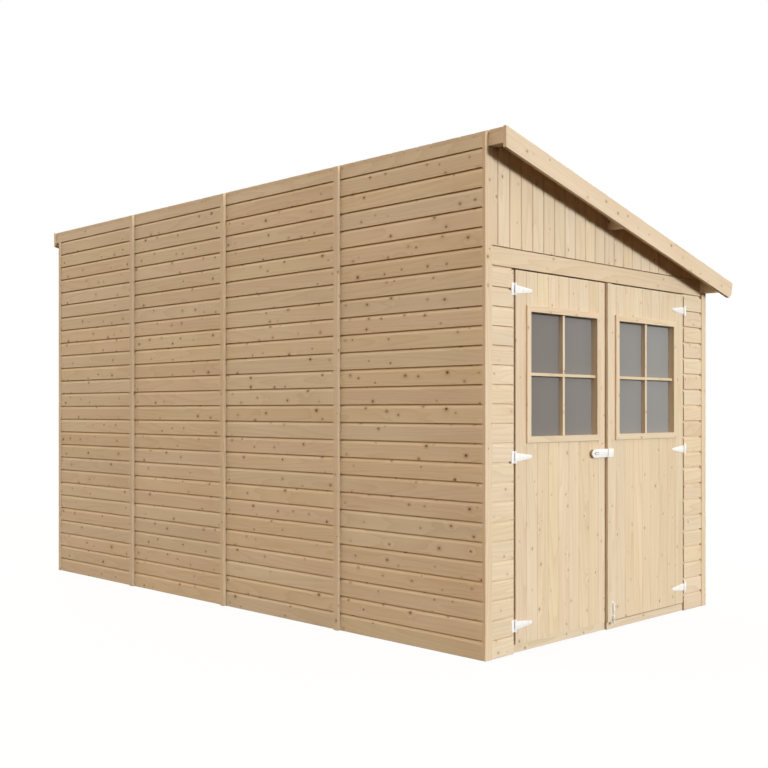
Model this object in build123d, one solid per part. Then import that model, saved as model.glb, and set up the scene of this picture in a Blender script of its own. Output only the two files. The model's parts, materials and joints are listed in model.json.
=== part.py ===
from build123d import *
import math
import os

# A lean-to timber garden shed with a double door in its front gable.
# The door gable faces +X, the high wall faces -Y, and the ground is z = 0.
# The origin is the middle of the roof's outline on the ground.
# Lengths are in millimetres and angles in degrees.

# The walls, over the faces of their trims
wall_length = 3958
wall_width = 2028
low_wall_height = 1832
panel_count = 4
joint_setback = 16

# The roof
roof_angle = 13.99
front_overhang = 116
back_overhang = 70
eaves_overhang = 115
deck_thickness = 19
purlin_width = 45
high_purlin_depth = 53
middle_purlin_depth = 70
low_purlin_depth = 76
middle_purlin_place = 1000
bargeboard_thickness = 18
bargeboard_width = 96
bargeboard_chamfer = 24

# Boards, trims and frame timber
board = 16
strip_thickness = 18
strip_width = 35
strip_top_drop = 5
trim_rise = 4
high_trim_width = 49
low_trim_width = 49
lintel_height = 87
lintel_drop = 17
stud_width = 28
stud_depth = 45

# The floor
bearer_count = 5
bearer_width = 45
bearer_height = 28
floor_thickness = 16

# The doorway and its sill
left_jamb_width = 162
right_jamb_width = 197
sill_setback = 10
sill_height = 42
bolt_strip_thickness = 14
bolt_strip_height = 40
bolt_strip_inset = 33

# The two door leaves
left_hinge_gap = 15
right_hinge_gap = 10
meeting_gap = 5
meeting_shift = 2
meeting_strip_width = 35
meeting_strip_thickness = 17
leaf_bottom = 47
head_gap = 7
ledge_width = 95
ledge_thickness = 19
ledge_inset = 20
ledge_rise = 60
brace_gap = 1

# The window in each leaf
window_sill_height = 1023
window_drop = 191
left_hinge_margin = 108
left_meeting_margin = 82
right_hinge_margin = 118
right_meeting_margin = 120
window_trim_width = 31
window_trim_thickness = 11
window_liner = 15
window_reveal = 35
glass_thickness = 4
glass_setback = 27

# The hinges
metal = 3
knuckle_radius = 5
knuckle_height = 34
end_knuckle_height = 12
knuckle_gap = 0.5
hinge_plate_width = 19
hinge_plate_height = 57
strap_length = 123
strap_root_height = 41
strap_tip_height = 16
top_hinge_drop = 91.5
middle_hinge_drop = 96.5
bottom_hinge_rise = 90

# The hasp
hasp_height = 44
hasp_strap_length = 140
hasp_plate_length = 49
hasp_gap = 5
hasp_slot_length = 41
hasp_slot_height = 13
hasp_slot_inset = 17
staple_rise = 8
staple_leg = 7
staple_height = 8

# The drop bolt
bolt_offset = 65.5
bolt_plate_width = 18
bolt_plate_bottom = 58
bolt_plate_height = 89
bolt_radius = 3.5
bolt_tip_height = 30
bolt_length = 112
bolt_clearance = 0.3
guide_wall = 2
guide_height = 14
guide_inset = 4
knob_radius = 3
knob_length = 10
knob_height = 104

# Planes across the shed, from the high wall to the low one
roof_depth = wall_width + eaves_overhang
high_face = -roof_depth / 2
low_face = high_face + wall_width
high_clad = high_face + strip_thickness
high_frame = high_clad + board
high_room = high_frame + stud_depth
low_clad = low_face - strip_thickness
low_frame = low_clad - board
low_room = low_frame - stud_depth
high_trim_end = high_face + high_trim_width
low_trim_start = low_face - low_trim_width
eaves_end = low_face + eaves_overhang

# Planes along the shed, from the back gable to the door gable
roof_length = wall_length + front_overhang + back_overhang
front_face = roof_length / 2 - front_overhang
front_frame = front_face - board
front_room = front_frame - stud_depth
back_face = front_face - wall_length
back_frame = back_face + board
back_room = back_frame + stud_depth
roof_front = front_face + front_overhang
roof_back = back_face - back_overhang
panel_pitch = wall_length / panel_count
panel_joints = [
    front_face - joint_setback - panel_pitch * index for index in range(1, panel_count)
]

# Heights that follow the roof slope
roof_slope = math.tan(math.radians(roof_angle))
deck_rise = deck_thickness / math.cos(math.radians(roof_angle))
bargeboard_depth = bargeboard_width / math.cos(math.radians(roof_angle))


def deck_underside(y):
    """Height of the roof deck's underside at a place across the shed."""
    return low_wall_height + low_purlin_depth + (low_clad - y) * roof_slope


def roof_top(y):
    """Height of the roof's upper surface at a place across the shed."""
    return deck_underside(y) + deck_rise


high_wall_height = deck_underside(high_clad) - high_purlin_depth
high_strip_top = roof_top(high_clad) - strip_top_drop
door_head = low_wall_height - lintel_drop
lintel_top = door_head + lintel_height
floor_top = bearer_height + floor_thickness
middle_purlin = (high_face + middle_purlin_place, high_face + middle_purlin_place + purlin_width)
middle_purlin_bottom = deck_underside(middle_purlin[0]) - middle_purlin_depth
high_purlin = (high_clad, high_clad + purlin_width)
low_purlin = (low_clad - purlin_width, low_clad)

# The doorway
door_start = high_trim_end + left_jamb_width
door_end = low_trim_start - right_jamb_width
strip_start = (door_start + door_end - meeting_strip_width) / 2 - meeting_shift
strip_end = strip_start + meeting_strip_width
left_leaf = (door_start + left_hinge_gap, strip_start - meeting_gap)
right_leaf = (strip_start, door_end - right_hinge_gap)
leaf_top = door_head - head_gap
leaf_back = front_face - board
hinge_heights = (
    leaf_top - top_hinge_drop,
    window_sill_height - middle_hinge_drop,
    leaf_bottom + bottom_hinge_rise,
)
hinge_x = front_face + knuckle_radius
left_hinge_y = (door_start + left_leaf[0]) / 2
right_hinge_y = (door_end + right_leaf[1]) / 2
window_span = (window_sill_height, leaf_top - window_drop)
left_window = (left_leaf[0] + left_hinge_margin, left_leaf[1] - left_meeting_margin)
right_window = (right_leaf[0] + right_meeting_margin, right_leaf[1] - right_hinge_margin)
hasp_centre = hinge_heights[1]
strip_face = front_face + meeting_strip_thickness


def block(x, y, z):
    """A straight timber, panel or plate between (low, high) planes on each axis."""
    size = [high - low for low, high in (x, y, z)]
    corner = Pos(x[0], y[0], z[0])
    return corner * Box(*size, align=(Align.MIN, Align.MIN, Align.MIN))


def along_length(outline, x):
    """A straight piece along the shed whose section is a list of (y, z) points."""
    section = Plane.YZ.offset(x[0]) * make_face(Polyline(*outline, close=True))
    return extrude(section, x[1] - x[0])


def flat_plate(outline, x):
    """A metal plate that stands on a face of the shed, cut to an outline in y and z."""
    section = Plane.YZ.offset(x) * make_face(outline)
    return extrude(section, metal, dir=Axis.X.direction)


def upright(z, radius, x, y):
    """A round upright bar between two heights."""
    bar = Cylinder(radius, z[1] - z[0], align=(Align.CENTER, Align.CENTER, Align.MIN))
    return Pos(x, y, z[0]) * bar


def under_deck(y, bottom):
    """The section of a piece with plumb sides that reaches up to the sloping deck."""
    return [
        (y[0], bottom),
        (y[1], bottom),
        (y[1], deck_underside(y[1])),
        (y[0], deck_underside(y[0])),
    ]


def floor():
    """Bearers across the shed with the floor boards on them, inside the wall frames."""
    room = (high_room, low_room)
    step = (front_room - back_room - bearer_width) / (bearer_count - 1)
    starts = [back_room + step * index for index in range(bearer_count)]
    return {
        "floor_bearers": [
            block((start, start + bearer_width), room, (0, bearer_height)) for start in starts
        ],
        "floor_deck": [block((back_room, front_room), room, (bearer_height, floor_top))],
    }


def long_walls():
    """The boarded panels of the high wall and of the low wall, from the doors to the back."""
    edges = [front_frame, *panel_joints, back_frame]
    nodes = {}
    for number, (front, back) in enumerate(zip(edges, edges[1:]), start=1):
        panel = (back, front)
        nodes[f"high_wall_panel_{number}"] = [
            block(panel, (high_clad, high_frame), (0, high_wall_height))
        ]
        nodes[f"low_wall_panel_{number}"] = [
            block(panel, (low_frame, low_clad), (0, low_wall_height))
        ]
    return nodes


def rail_section():
    """The rail board over a gable's panels, notched under the low purlin."""
    return [
        (high_trim_end, door_head),
        (low_trim_start, door_head),
        (low_trim_start, low_wall_height),
        (low_purlin[0], low_wall_height),
        (low_purlin[0], lintel_top),
        (high_trim_end, lintel_top),
    ]


def gable_section():
    """The upright boards over a gable's rail, notched round the purlins."""
    return [
        (high_trim_end, lintel_top),
        (low_purlin[0], lintel_top),
        (low_purlin[0], deck_underside(low_purlin[0])),
        (middle_purlin[1], deck_underside(middle_purlin[1])),
        (middle_purlin[1], middle_purlin_bottom),
        (middle_purlin[0], middle_purlin_bottom),
        (middle_purlin[0], deck_underside(middle_purlin[0])),
        (high_purlin[1], deck_underside(high_purlin[1])),
        (high_purlin[1], high_wall_height),
        (high_trim_end, high_wall_height),
    ]


def gables():
    """Both gables: boarded panels, a rail board and upright boards under the roof."""
    front = (front_frame, front_face)
    back = (back_face, back_frame)
    middle = (high_trim_end + low_trim_start) / 2
    height = (0, door_head)
    return {
        "front_wall_left": [block(front, (high_trim_end, door_start), height)],
        "front_wall_right": [block(front, (door_end, low_trim_start), height)],
        "front_lintel": [along_length(rail_section(), front)],
        "front_gable_boards": [along_length(gable_section(), front)],
        "back_wall_panel_1": [block(back, (high_trim_end, middle), height)],
        "back_wall_panel_2": [block(back, (middle, low_trim_start), height)],
        "back_rail": [along_length(rail_section(), back)],
        "back_gable_boards": [along_length(gable_section(), back)],
    }


def trims():
    """Corner trims on the gables and cover strips over the panel joints."""
    high_corner = [
        (high_face, 0),
        (high_trim_end, 0),
        (high_trim_end, high_wall_height),
        (high_clad, high_wall_height),
        (high_clad, high_strip_top),
        (high_face, high_strip_top),
    ]
    low_corner = [
        (low_trim_start, 0),
        (low_face, 0),
        (low_face, deck_underside(low_face)),
        (low_clad, deck_underside(low_clad)),
        (low_clad, low_wall_height),
        (low_trim_start, low_wall_height),
    ]
    high_strip = [
        (high_face, 0),
        (high_clad, 0),
        (high_clad, high_strip_top),
        (high_face, high_strip_top),
    ]
    low_strip = under_deck((low_clad, low_face), 0)
    ends = [(front_frame, front_face + trim_rise), (back_face - trim_rise, back_frame)]
    spans = [(joint - strip_width / 2, joint + strip_width / 2) for joint in panel_joints]
    middle = (high_trim_end + low_trim_start) / 2
    back_strip = block(
        (back_face - strip_thickness, back_face),
        (middle - strip_width / 2, middle + strip_width / 2),
        (0, door_head),
    )
    return {
        "corner_trims": [
            along_length(corner, end) for corner in (high_corner, low_corner) for end in ends
        ],
        "cover_strips": [
            along_length(strip, span) for strip in (high_strip, low_strip) for span in spans
        ]
        + [back_strip],
    }


def long_wall_studs(y, wall_height):
    """The uprights of a long wall: one in each panel, a pair at each joint, one at each end."""
    edges = [front_frame, *panel_joints, back_frame]
    height = (stud_width, wall_height - stud_width)
    spans = [(front_frame - stud_width, front_frame), (back_frame, back_frame + stud_width)]
    spans += [(joint - stud_width, joint + stud_width) for joint in panel_joints]
    for front, back in zip(edges, edges[1:]):
        middle = (front + back) / 2
        spans.append((middle - stud_width / 2, middle + stud_width / 2))
    return [block(span, y, height) for span in spans]


def gable_studs():
    """The uprights of both gables, with a jamb on each side of the doorway."""
    front = (front_room, front_frame)
    back = (back_frame, back_room)
    height = (stud_width, door_head)
    middle = (high_trim_end + low_trim_start) / 2
    quarters = [(high_room + middle) / 2, (middle + low_room) / 2]
    corners = [(high_room, high_room + stud_width), (low_room - stud_width, low_room)]
    jambs = [(door_start - stud_width, door_start), (door_end, door_end + stud_width)]
    inner = [(place - stud_width / 2, place + stud_width / 2) for place in quarters]
    pair = (middle - stud_width, middle + stud_width)
    return [block(front, span, height) for span in corners + jambs] + [
        block(back, span, height) for span in corners + inner + [pair]
    ]


def gable_rafters():
    """Sloping rails behind the gables' upright boards, between the purlins."""
    rails = []
    for start, end in ((high_room, middle_purlin[0]), (middle_purlin[1], low_room)):
        outline = [
            (start, deck_underside(start) - stud_depth),
            (end, deck_underside(end) - stud_depth),
            (end, deck_underside(end)),
            (start, deck_underside(start)),
        ]
        for x in ((front_room, front_frame), (back_frame, back_room)):
            rails.append(along_length(outline, x))
    return rails


def frames():
    """The wall frames behind the boards: plates, uprights and gable rails."""
    length = (back_frame, front_frame)
    high = (high_frame, high_room)
    low = (low_room, low_frame)
    front = (front_room, front_frame)
    back = (back_frame, back_room)
    foot = (0, stud_width)
    head = (door_head, door_head + stud_width)
    return {
        "long_wall_plates": [
            block(length, high, foot),
            block(length, high, (high_wall_height - stud_width, high_wall_height)),
            block(length, low, foot),
            block(length, low, (low_wall_height - stud_width, low_wall_height)),
        ],
        "gable_plates": [
            block(front, (high_room, door_start), foot),
            block(front, (door_end, low_room), foot),
            block(back, (high_room, low_room), foot),
            block(front, (high_room, low_room), head),
            block(back, (high_room, low_room), head),
        ],
        "high_wall_studs": long_wall_studs(high, high_wall_height),
        "low_wall_studs": long_wall_studs(low, low_wall_height),
        "gable_studs": gable_studs(),
        "gable_rafters": gable_rafters(),
    }


def bargeboard_section():
    """A board along the roof's edge: plumb at the high end, square and clipped at the eaves."""
    along = Vector(math.cos(math.radians(roof_angle)), -math.sin(math.radians(roof_angle)))
    down = Vector(along.Y, -along.X)
    top = Vector(eaves_end, roof_top(eaves_end))
    side = top + down * (bargeboard_width - bargeboard_chamfer)
    toe = top + down * bargeboard_width - along * bargeboard_chamfer
    high_top = roof_top(high_face)
    return [
        (high_face, high_top),
        (top.X, top.Y),
        (side.X, side.Y),
        (toe.X, toe.Y),
        (high_face, high_top - bargeboard_depth),
    ]


def roof():
    """Purlins along the shed, the boarded deck on them and a bargeboard at each gable."""
    between = (roof_back + bargeboard_thickness, roof_front - bargeboard_thickness)
    deck = [
        (high_clad, deck_underside(high_clad)),
        (eaves_end, deck_underside(eaves_end)),
        (eaves_end, roof_top(eaves_end)),
        (high_clad, roof_top(high_clad)),
    ]
    return {
        "purlins": [
            along_length(under_deck(high_purlin, high_wall_height), between),
            along_length(under_deck(middle_purlin, middle_purlin_bottom), between),
            along_length(under_deck(low_purlin, low_wall_height), between),
        ],
        "roof_deck": [along_length(deck, between)],
        "bargeboards": [
            along_length(bargeboard_section(), (between[1], roof_front)),
            along_length(bargeboard_section(), (roof_back, between[0])),
        ],
    }


def doorway():
    """The sill across the doorway and the strip in front of it under the bolted leaf."""
    sill_front = front_frame - sill_setback
    strip = (sill_front, sill_front + bolt_strip_thickness)
    span = (right_leaf[0] + bolt_strip_inset, door_end)
    return {
        "door_sill": [block((front_room, sill_front), (door_start, door_end), (0, sill_height))],
        "bolt_strip": [block(strip, span, (0, bolt_strip_height))],
    }


def boarded_leaf(leaf, window):
    """The boards of one leaf, with the window cut through them."""
    boards = block((leaf_back, front_face), leaf, (leaf_bottom, leaf_top))
    hole = block(
        (leaf_back, front_face),
        (window[0] - window_liner, window[1] + window_liner),
        (window_span[0] - window_liner, window_span[1] + window_liner),
    )
    return boards - hole


def ledges(leaf, hinge_side):
    """Ledges and a brace on a leaf's back: the brace rises from the hinges to the free edge."""
    x = (leaf_back - ledge_thickness, leaf_back)
    span = (leaf[0] + ledge_inset, leaf[1] - ledge_inset)
    low = leaf_bottom + ledge_rise
    middle = window_span[0] - window_liner - ledge_inset
    top = leaf_top - (window_drop + ledge_width) / 2
    heights = [
        (low, low + ledge_width),
        (middle - ledge_width, middle),
        (top, top + ledge_width),
    ]
    foot = low + ledge_width + brace_gap
    head = middle - ledge_width - brace_gap
    near, far = span if hinge_side < 0 else span[::-1]
    step = -hinge_side * ledge_width
    brace = [(near, foot), (near + step, foot), (far, head), (far - step, head)]
    return [block(x, span, height) for height in heights] + [along_length(brace, x)]


def window_frame(window):
    """The trim on a leaf's face and the liner through the leaf, round one clear opening."""
    reveal = (front_face - window_reveal, front_face + window_trim_thickness)
    trim = block(
        (front_face, front_face + window_trim_thickness),
        (window[0] - window_trim_width, window[1] + window_trim_width),
        (window_span[0] - window_trim_width, window_span[1] + window_trim_width),
    )
    liner = block(
        (front_face - window_reveal, front_face),
        (window[0] - window_liner, window[1] + window_liner),
        (window_span[0] - window_liner, window_span[1] + window_liner),
    )
    return trim + liner - block(reveal, window, window_span)


def window_glass(window):
    """The pane that closes a window, held by the liner."""
    back = front_face - glass_setback - glass_thickness
    return block((back, back + glass_thickness), window, window_span)


def hinge_plate(height, hinge_y, edge, side):
    """A hinge's plate on the wall, with the two end knuckles on the axis."""
    x = (front_face, front_face + metal)
    inner = sorted((edge, edge + side * hinge_plate_width))
    half = hinge_plate_height / 2
    plate = block(x, inner, (height - half, height + half))
    reach = sorted((edge, hinge_y))
    start = knuckle_height / 2 + knuckle_gap
    for low in (height + start, height - start - end_knuckle_height):
        span = (low, low + end_knuckle_height)
        plate += block(x, reach, span)
        plate += upright(span, knuckle_radius, hinge_x, hinge_y)
    return plate


def hinge_strap(height, hinge_y, edge, side):
    """A hinge's tapered strap on a leaf, round at its tip, with the middle knuckle on the axis."""
    root = strap_root_height / 2
    tip = strap_tip_height / 2
    end = edge + side * strap_length
    bend = end - side * tip
    sides = Polyline(
        (bend, height - tip), (edge, height - root), (edge, height + root), (bend, height + tip)
    )
    nose = ThreePointArc((bend, height + tip), (end, height), (bend, height - tip))
    x = (front_face, front_face + metal)
    span = (height - knuckle_height / 2, height + knuckle_height / 2)
    strap = flat_plate(sides + nose, front_face)
    strap += block(x, sorted((hinge_y, edge)), span)
    return strap + upright(span, knuckle_radius, hinge_x, hinge_y)


def staple(slot):
    """The staple on the left leaf: two legs in the ends of the hasp's slot and a bar before it."""
    outer = strip_face + metal + staple_rise
    height = (hasp_centre - staple_height / 2, hasp_centre + staple_height / 2)
    bow = block((front_face, outer), slot, height)
    inner = (slot[0] + staple_leg, slot[1] - staple_leg)
    return bow - block((front_face, outer - staple_leg), inner, height)


def hasp_strap():
    """The hasp's slotted strap in front of the left leaf, on its staple."""
    end = strip_start - hasp_gap
    start = end - hasp_strap_length
    half = hasp_height / 2
    bend = start + half
    bottom = hasp_centre - half
    top = hasp_centre + half
    sides = Polyline((bend, bottom), (end, bottom), (end, top), (bend, top))
    nose = ThreePointArc((bend, top), (start, hasp_centre), (bend, bottom))
    strap = flat_plate(sides + nose, strip_face)
    slot = (start + hasp_slot_inset, start + hasp_slot_inset + hasp_slot_length)
    hole = block(
        (strip_face, strip_face + metal),
        slot,
        (hasp_centre - hasp_slot_height / 2, hasp_centre + hasp_slot_height / 2),
    )
    return strap - hole + staple(slot)


def hasp_plate():
    """The hasp's plate on the meeting strip."""
    half = hasp_height / 2
    return block(
        (strip_face, strip_face + metal),
        (strip_start, strip_start + hasp_plate_length),
        (hasp_centre - half, hasp_centre + half),
    )


def bolt_axis():
    """The drop bolt's place on the right leaf, as x and y."""
    return front_face + metal + guide_wall + bolt_radius, strip_start + bolt_offset


def bolt_guides():
    """The drop bolt's plate with two guides that the bolt slides through."""
    x, y = bolt_axis()
    top = bolt_plate_bottom + bolt_plate_height
    half = bolt_plate_width / 2
    guides = block((front_face, front_face + metal), (y - half, y + half), (bolt_plate_bottom, top))
    reach = bolt_radius + guide_wall
    for low in (bolt_plate_bottom + guide_inset, top - guide_inset - guide_height):
        span = (low, low + guide_height)
        guides += block((front_face, x + reach), (y - reach, y + reach), span)
    bore = (bolt_plate_bottom, top)
    return guides - upright(bore, bolt_radius + bolt_clearance, x, y)


def drop_bolt():
    """The sliding bolt with its knob between the guides."""
    x, y = bolt_axis()
    rod = upright((bolt_tip_height, bolt_tip_height + bolt_length), bolt_radius, x, y)
    knob = Cylinder(knob_radius, knob_length, align=(Align.CENTER, Align.CENTER, Align.MIN))
    return rod + Pos(x, y, knob_height) * Rot(0, 90, 0) * knob


def doors():
    """Both leaves with their windows, hinges, hasp and drop bolt."""
    strip = block((front_face, strip_face), (strip_start, strip_end), (leaf_bottom, leaf_top))
    left = (left_hinge_y, left_leaf[0], 1)
    right = (right_hinge_y, right_leaf[1], -1)
    return {
        "hinge_plates": [hinge_plate(z, left_hinge_y, door_start, -1) for z in hinge_heights]
        + [hinge_plate(z, right_hinge_y, door_end, 1) for z in hinge_heights],
        "left_leaf": [boarded_leaf(left_leaf, left_window)],
        "left_ledges": ledges(left_leaf, -1),
        "left_window_frame": [window_frame(left_window)],
        "left_window_glass": [window_glass(left_window)],
        "left_hinge_straps": [hinge_strap(z, *left) for z in hinge_heights],
        "hasp_strap": [hasp_strap()],
        "right_leaf": [boarded_leaf(right_leaf, right_window)],
        "right_ledges": ledges(right_leaf, 1),
        "right_window_frame": [window_frame(right_window)],
        "right_window_glass": [window_glass(right_window)],
        "right_hinge_straps": [hinge_strap(z, *right) for z in hinge_heights],
        "meeting_strip": [strip],
        "hasp_plate": [hasp_plate()],
        "bolt_guides": [bolt_guides()],
        "drop_bolt": [drop_bolt()],
    }


def main():
    """Builds every sub-part and writes one file for each."""
    os.makedirs("parts", exist_ok=True)
    sub_assemblies = (floor, long_walls, gables, trims, frames, roof, doorway, doors)
    for build in sub_assemblies:
        for name, pieces in build().items():
            solids = [solid for piece in pieces for solid in piece.solids()]
            export_step(Compound(children=solids), f"parts/{name}.step")
    print("left hinge", hinge_x, left_hinge_y)
    print("right hinge", hinge_x, right_hinge_y)
    print("room x", back_room, front_room, "y", high_room, low_room, "z", floor_top, door_head)


main()
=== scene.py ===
"""Looks of a lean-to garden shed built of pale planed softwood.

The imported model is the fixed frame. Each sub-assembly models its boards, timbers and fittings on
the bench, dresses them in a finish and hangs them on the body that carries them. Lengths are in
metres, and every piece lies where its node lies.
"""

import json
import logging
import math
import zlib
from collections.abc import Callable, Iterator, Sequence
from contextlib import contextmanager
from dataclasses import dataclass, replace
from enum import Enum

import bmesh
import bpy
import numpy as np
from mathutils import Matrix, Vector

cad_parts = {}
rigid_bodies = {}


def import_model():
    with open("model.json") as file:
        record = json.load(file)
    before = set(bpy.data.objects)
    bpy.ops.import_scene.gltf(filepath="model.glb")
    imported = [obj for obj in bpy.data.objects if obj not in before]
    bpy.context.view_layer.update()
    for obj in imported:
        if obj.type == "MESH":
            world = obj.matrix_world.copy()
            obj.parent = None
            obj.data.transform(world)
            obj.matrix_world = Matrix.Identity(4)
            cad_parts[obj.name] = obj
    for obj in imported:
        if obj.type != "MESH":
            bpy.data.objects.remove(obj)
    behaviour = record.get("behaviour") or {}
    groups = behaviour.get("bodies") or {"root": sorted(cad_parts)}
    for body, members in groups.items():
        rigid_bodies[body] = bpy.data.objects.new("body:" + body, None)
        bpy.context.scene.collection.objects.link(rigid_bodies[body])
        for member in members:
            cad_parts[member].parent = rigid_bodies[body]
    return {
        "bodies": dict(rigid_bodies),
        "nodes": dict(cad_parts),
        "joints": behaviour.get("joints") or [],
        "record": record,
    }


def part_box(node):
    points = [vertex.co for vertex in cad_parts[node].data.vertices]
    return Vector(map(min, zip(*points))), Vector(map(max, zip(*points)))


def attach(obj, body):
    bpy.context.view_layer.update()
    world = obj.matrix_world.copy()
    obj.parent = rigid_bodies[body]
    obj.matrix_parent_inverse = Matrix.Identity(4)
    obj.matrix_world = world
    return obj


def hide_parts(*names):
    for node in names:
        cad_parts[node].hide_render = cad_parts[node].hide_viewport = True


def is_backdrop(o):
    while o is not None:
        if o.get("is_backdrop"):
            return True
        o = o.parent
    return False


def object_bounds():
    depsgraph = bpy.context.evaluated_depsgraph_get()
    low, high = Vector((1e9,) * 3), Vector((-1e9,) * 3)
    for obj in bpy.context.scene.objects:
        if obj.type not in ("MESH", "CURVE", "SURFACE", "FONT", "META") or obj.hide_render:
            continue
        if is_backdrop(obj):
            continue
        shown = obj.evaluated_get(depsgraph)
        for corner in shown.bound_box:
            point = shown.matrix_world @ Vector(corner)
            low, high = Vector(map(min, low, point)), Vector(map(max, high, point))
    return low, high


LOG = logging.getLogger("shed")
UP = Vector((0.0, 0.0, 1.0))
# Points nearer than this are one
MERGE = 1e-5
# How much of a direction lies on the axis that it follows, at the least
ALIGNED = 0.9
# An edge that turns less than the first is flat, one that turns more than the second is sharp
FLAT_TURN = math.radians(0.5)
SHARP_TURN = math.radians(30)
QUARTER_TURN = math.radians(90)
# How many flats make a chamfer and a rounded edge
CHAMFERED = 1
ROUNDED = 2

Colour = tuple[float, float, float, float]
Range = tuple[float, float]
Test = Callable[[Vector, Vector], bool]
Piece = bpy.types.Object
Socket = bpy.types.NodeSocket
Inputs = dict[object, object]

WHITE: Colour = (1.0, 1.0, 1.0, 1.0)
# Where most of a cloudy value lies
CLOUDY: Range = (0.3, 0.7)


class Body(Enum):
    """The material slots that pieces are handed when they are hung."""

    SHED = "shed"
    LEFT_DOOR = "left_door"
    RIGHT_DOOR = "right_door"
    BOLT = "bolt"


class Slot(Enum):
    """The material slots that pieces take."""

    CLADDING = "clad_wood"
    FRAMING = "frame_wood"
    DECKING = "deck_wood"
    METAL = "white_metal"


class Grain(Enum):
    """Which way a timber's grain runs."""

    ALONG = 0
    ACROSS = 1
    UPRIGHT = 2
    DOWN_SLOPE = 3


class Bench:
    """The modelling bench, where every mesh is made and shaped with operators."""

    @staticmethod
    def clear() -> None:
        """Leaves edit mode and deselects everything."""
        if bpy.context.mode != "OBJECT":
            bpy.ops.object.mode_set(mode="OBJECT")
        bpy.ops.object.select_all(action="DESELECT")

    @staticmethod
    def take(piece: Piece) -> None:
        """Makes one piece the only one picked.

        Args:
            piece: The piece to pick.
        """
        Bench.clear()
        piece.select_set(True)
        bpy.context.view_layer.objects.active = piece

    @staticmethod
    @contextmanager
    def editing(piece: Piece, element: str = "FACE") -> Iterator[None]:
        """Opens a piece in edit mode with nothing picked, and closes it again.

        Args:
            piece: The piece to open.
            element: What is picked in it, FACE or EDGE.

        Yields:
            Nothing, once the piece is open.
        """
        Bench.take(piece)
        bpy.ops.object.mode_set(mode="EDIT")
        bpy.ops.mesh.select_mode(type=element)
        bpy.ops.mesh.select_all(action="DESELECT")
        yield
        bpy.ops.object.mode_set(mode="OBJECT")

    @staticmethod
    def pick_faces(piece: Piece, test: Test) -> None:
        """Picks faces of the open piece.

        Args:
            piece: The piece that is open in edit mode.
            test: Says yes or no to a face, from its middle and its normal.
        """
        work = bmesh.from_edit_mesh(piece.data)
        for face in work.faces:
            if test(face.calc_center_median(), face.normal):
                face.select_set(True)
        bmesh.update_edit_mesh(piece.data)

    @staticmethod
    def pick_edges(piece: Piece, test: Test) -> None:
        """Picks edges of the open piece.

        Args:
            piece: The piece that is open in edit mode.
            test: Says yes or no to an edge, from its middle and its direction.
        """
        work = bmesh.from_edit_mesh(piece.data)
        for edge in work.edges:
            start, end = (corner.co for corner in edge.verts)
            if test((start + end) / 2, (end - start).normalized()):
                edge.select_set(True)
        bmesh.update_edit_mesh(piece.data)

    @staticmethod
    def shift_faces(piece: Piece, test: Test, move: Sequence[float]) -> None:
        """Opens a piece and moves some of its faces.

        Args:
            piece: The piece to change.
            test: Says yes or no to a face, from its middle and its normal.
            move: How far the faces move.
        """
        with Bench.editing(piece):
            Bench.pick_faces(piece, test)
            bpy.ops.transform.translate(value=tuple(move))

    @staticmethod
    def bevel_edges(piece: Piece, test: Test, width: float, segments: int) -> None:
        """Opens a piece and bevels some of its edges.

        Args:
            piece: The piece to change.
            test: Says yes or no to an edge, from its middle and its direction.
            width: How far the bevel reaches from each edge.
            segments: How many flats make the bevel.
        """
        with Bench.editing(piece, "EDGE"):
            Bench.pick_edges(piece, test)
            bpy.ops.mesh.bevel(offset=width, segments=segments, affect="EDGES")

    @staticmethod
    def draw_out(move: Sequence[float]) -> None:
        """Extrudes what is picked by a move."""
        bpy.ops.mesh.extrude_region_move(TRANSFORM_OT_translate={"value": tuple(move)})

    @staticmethod
    def squeeze(axis: int, share: float, centre: Sequence[float]) -> None:
        """Scales what is picked along one axis.

        Args:
            axis: The axis, 0 to 2.
            share: The size that is left, as a share.
            centre: The point that stays where it is.
        """
        value = [1.0, 1.0, 1.0]
        value[axis] = share
        bpy.ops.transform.resize(value=value, center_override=tuple(centre))

    @staticmethod
    def slab(name: str, low: Sequence[float], high: Sequence[float]) -> Piece:
        """Makes a square-edged timber.

        Args:
            name: The piece's name.
            low: Its lowest corner.
            high: Its highest corner.

        Returns:
            The piece, with its place in its mesh.
        """
        Bench.clear()
        bpy.ops.mesh.primitive_cube_add(size=1.0)
        piece = bpy.context.object
        piece.name = name
        piece.location = (Vector(low) + Vector(high)) / 2
        piece.scale = Vector(high) - Vector(low)
        bpy.ops.object.transform_apply(location=True, rotation=True, scale=True)
        return piece

    @staticmethod
    def join(name: str, first: Piece, *others: Piece) -> Piece:
        """Joins pieces into the first one.

        Args:
            name: The name of the whole.
            first: The piece that takes the others in.
            others: The pieces that it takes in.

        Returns:
            The first piece.
        """
        Bench.take(first)
        for other in others:
            other.select_set(True)
        bpy.ops.object.join()
        first.name = name
        return first

    @staticmethod
    def cut(piece: Piece, place: Sequence[float], outward: Sequence[float]) -> None:
        """Saws off all that lies outside a plane, and closes the cut.

        Args:
            piece: The piece to saw.
            place: A point on the plane.
            outward: The plane's normal, towards the waste.
        """
        with Bench.editing(piece):
            bpy.ops.mesh.select_all(action="SELECT")
            bpy.ops.mesh.bisect(
                plane_co=tuple(place), plane_no=tuple(outward), use_fill=True, clear_outer=True
            )

    @staticmethod
    def apply(piece: Piece, kind: str, **settings: object) -> None:
        """Adds one modifier and applies it.

        Args:
            piece: The piece to change.
            kind: The modifier's type.
            settings: The modifier's values.
        """
        Bench.take(piece)
        modifier = piece.modifiers.new(kind.lower(), kind)
        for key, value in settings.items():
            setattr(modifier, key, value)
        bpy.ops.object.modifier_apply(modifier=modifier.name)

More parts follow.
